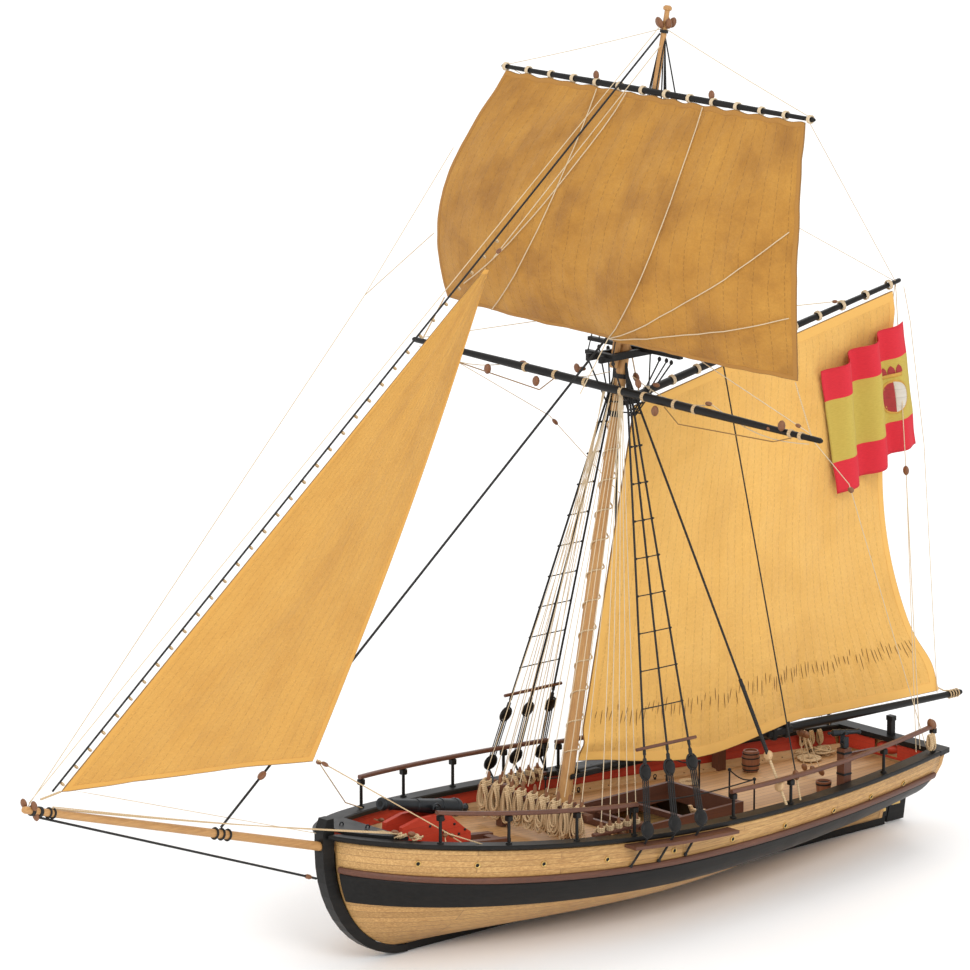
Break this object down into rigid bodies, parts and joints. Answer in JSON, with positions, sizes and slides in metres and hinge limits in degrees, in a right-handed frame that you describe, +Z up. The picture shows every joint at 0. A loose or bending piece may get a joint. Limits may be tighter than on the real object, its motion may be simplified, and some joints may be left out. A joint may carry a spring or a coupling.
{
  "type": "model of a single-masted wooden gunboat",
  "caption": "Display model of a single-masted wooden gunboat with gaff mainsail, square topsail, jib, a bow gun on a slide and two swivel guns.",
  "frame": {"origin": "middle of the overall box, on the flat underside of the keel", "axes": "+X to the bow, +Y to port, +Z up"},
  "size_m": [0.6311, 0.294, 0.4497],
  "materials": {
    "hull_oak": "satin, open grain",
    "mahogany": "satin, oiled",
    "black_paint": "satin black stain",
    "red_paint": "matt red paint",
    "deck_wood": "satin, caulked planks",
    "spar_wood": "satin, straight grain",
    "plywood": "raw",
    "sailcloth": "matt woven cotton",
    "gun_iron": "blued, satin",
    "black_rope": "laid cord",
    "tan_rope": "laid cord",
    "flag_cloth": "matt woven cotton",
    "brass": "polished"
  },
  "bodies": {
    "root": {"bobstay": "black_rope", "bowsprit": "spar_wood", "bulkhead_1": "plywood", "bulkhead_2": "plywood", "bulkhead_3": "plywood", "crosstrees": "black_paint", "fore_pin_rack": "mahogany", "foredeck_plate": "black_paint", "forestay": "black_rope", "gun_slide": "mahogany", "hatch_coaming": "mahogany", "hold_ladder": "mahogany", "jib": "sailcloth", "jib_stay": "black_rope", "keel": "black_paint", "keel_former": "plywood", "lower_mast": "spar_wood", "main_deck": "deck_wood", "mast_cap": "black_paint", "port_aft_handrail": "mahogany", "port_bulwark_lining": "red_paint", "port_cap_rail": "black_paint", "port_channel": "mahogany", "port_fore_handrail": "mahogany", "port_planking": "hull_oak", "port_rubbing_strake": "mahogany", "port_shrouds": "black_rope", "port_swivel_post": "mahogany", "port_wale": "black_paint", "starboard_aft_handrail": "mahogany", "starboard_bulwark_lining": "red_paint", "starboard_cap_rail": "black_paint", "starboard_channel": "mahogany", "starboard_fore_handrail": "mahogany", "starboard_planking": "hull_oak", "starboard_rubbing_strake": "mahogany", "starboard_shrouds": "black_rope", "starboard_swivel_post": "mahogany", "starboard_wale": "black_paint", "stem": "black_paint", "sternpost": "black_paint", "taffrail_and_boom_crutch": "black_paint", "topmast": "spar_wood", "transom": "hull_oak", "water_barrel": "mahogany"},
    "rudder": {"rudder": "black_paint", "tiller": "mahogany"},
    "boom": {"boom": "black_paint"},
    "gaff": {"gaff": "black_paint", "mainsail": "sailcloth", "flag": "flag_cloth"},
    "lower_yard": {"lower_yard": "black_paint"},
    "topsail_yard": {"topsail_yard": "black_paint", "topsail": "sailcloth"},
    "gun_carriage": {"gun_carriage": "red_paint"},
    "bow_gun": {"bow_gun": "gun_iron"},
    "port_swivel_yoke": {"port_swivel_yoke": "gun_iron"},
    "port_swivel_gun": {"port_swivel_gun": "gun_iron"},
    "starboard_swivel_yoke": {"starboard_swivel_yoke": "gun_iron"},
    "starboard_swivel_gun": {"starboard_swivel_gun": "gun_iron"}
  },
  "joints": [
    {"name": "rudder_turn", "type": "hinge", "parent": "root", "child": "rudder", "pos_m": [-0.26314, 0, 0.02], "axis": [-0.2669, 0, 0.9637], "range_deg": [-30, 30]},
    {"name": "boom_swing", "type": "hinge", "parent": "root", "child": "boom", "pos_m": [-0.03003, 0, 0.0687], "axis": [-0.1772, 0, 0.9842], "range_deg": [-8, 8]},
    {"name": "gaff_swing", "type": "hinge", "parent": "root", "child": "gaff", "pos_m": [-0.06347, 0, 0.2545], "axis": [-0.1772, 0, 0.9842], "range_deg": [-8, 8]},
    {"name": "lower_yard_brace", "type": "hinge", "parent": "root", "child": "lower_yard", "pos_m": [-0.06477, 0, 0.2617], "axis": [-0.1772, 0, 0.9842], "range_deg": [-10, 10]},
    {"name": "topsail_yard_brace", "type": "hinge", "parent": "root", "child": "topsail_yard", "pos_m": [-0.0882, 0, 0.408], "axis": [-0.1996, 0, 0.9799], "range_deg": [-10, 10]},
    {"name": "gun_recoil", "type": "slide", "parent": "root", "child": "gun_carriage", "axis": [0.9943, 0, 0.1062], "range_m": [-0.02, 0]},
    {"name": "gun_elevation", "type": "hinge", "parent": "gun_carriage", "child": "bow_gun", "pos_m": [0.0634, 0, 0.0701], "axis": [0, 1, 0], "range_deg": [-8, 6]},
    {"name": "port_swivel_turn", "type": "hinge", "parent": "root", "child": "port_swivel_yoke", "pos_m": [-0.181, 0.0455, 0.0643], "axis": [0, 0, 1], "range_deg": [-90, 90]},
    {"name": "port_swivel_tilt", "type": "hinge", "parent": "port_swivel_yoke", "child": "port_swivel_gun", "pos_m": [-0.181, 0.0455, 0.0722], "axis": [-0.4617, -0.887, 0], "range_deg": [-20, 20]},
    {"name": "starboard_swivel_turn", "type": "hinge", "parent": "root", "child": "starboard_swivel_yoke", "pos_m": [-0.181, -0.0455, 0.0643], "axis": [0, 0, 1], "range_deg": [-90, 90]},
    {"name": "starboard_swivel_tilt", "type": "hinge", "parent": "starboard_swivel_yoke", "child": "starboard_swivel_gun", "pos_m": [-0.181, -0.0455, 0.0722], "axis": [0.4617, -0.887, 0], "range_deg": [-20, 20]}
  ],
  "couplings": [
    {"joint": "gaff_swing", "follows": "boom_swing", "ratio": 1},
    {"joint": "topsail_yard_brace", "follows": "lower_yard_brace", "ratio": 1}
  ]
}
